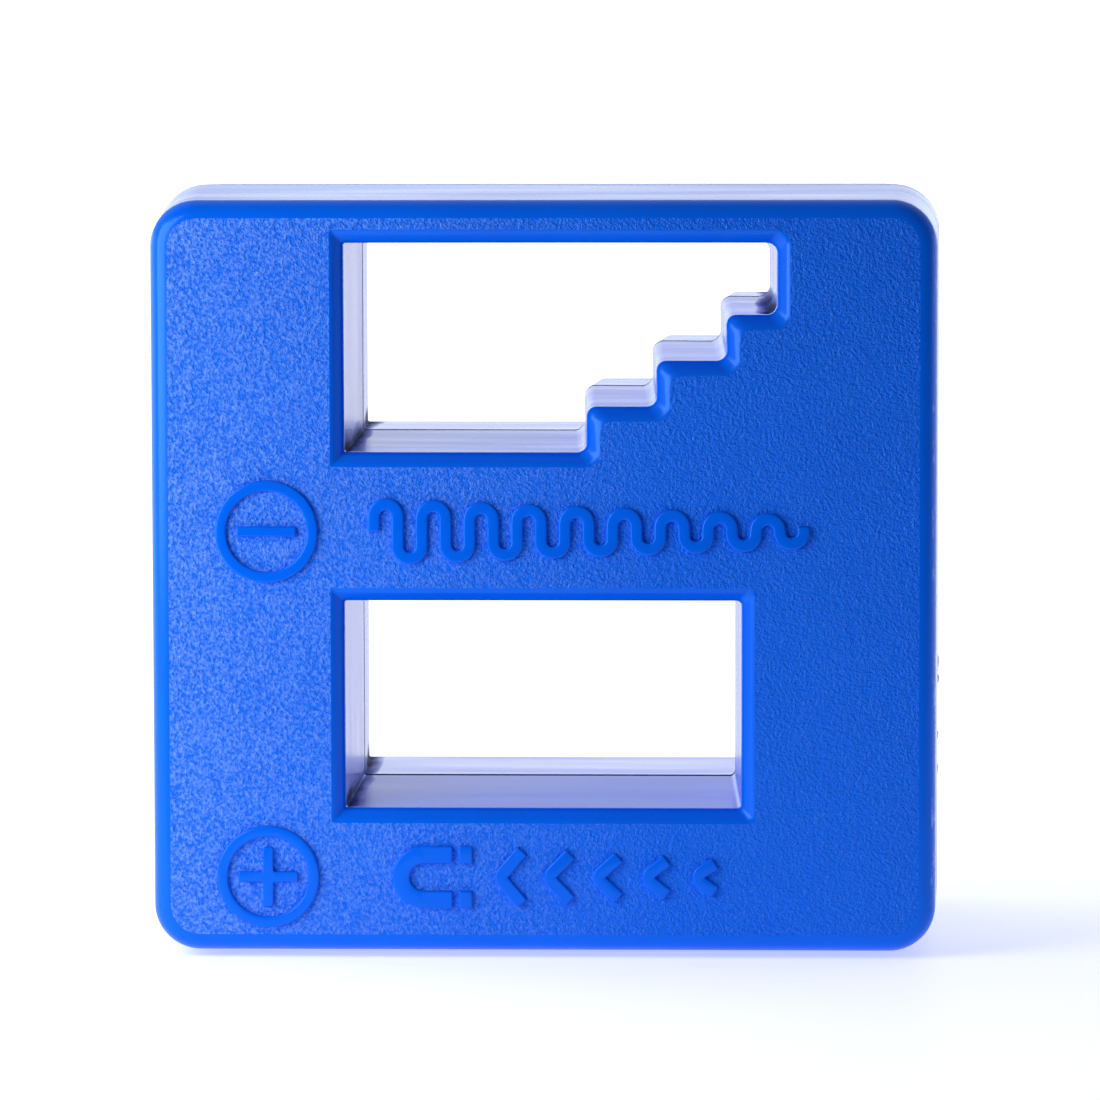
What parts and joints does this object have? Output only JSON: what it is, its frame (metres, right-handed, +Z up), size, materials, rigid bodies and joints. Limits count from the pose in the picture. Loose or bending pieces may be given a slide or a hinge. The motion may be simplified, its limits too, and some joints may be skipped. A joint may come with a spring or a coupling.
{
  "type": "demagnetizer",
  "caption": "Hand-held moulded block with a stepped opening that demagnetises and a rectangular opening that magnetises screwdriver and tweezer tips, by ferrite magnets sealed inside.",
  "frame": {"origin": "on the surface the block stands on, under the middle of its width and of its depth; the two shells meet at Y = 0", "axes": "+X to the right and +Z up as one looks at the front face, which has the raised symbols and looks along -Y; +Y towards the plain rear face"},
  "size_m": [0.052, 0.0283, 0.05],
  "materials": {
    "shell_plastic": "satin",
    "ferrite": "matte",
    "hot_melt": "satin",
    "cured_cement": "gloss"
  },
  "bodies": {
    "root": {"front_shell": "shell_plastic", "rear_shell": "shell_plastic", "bridge_magnet": "ferrite", "base_magnet": "ferrite", "bridge_magnet_glue": "hot_melt", "base_magnet_glue": "hot_melt", "seam_adhesive": "cured_cement"}
  },
  "joints": []
}
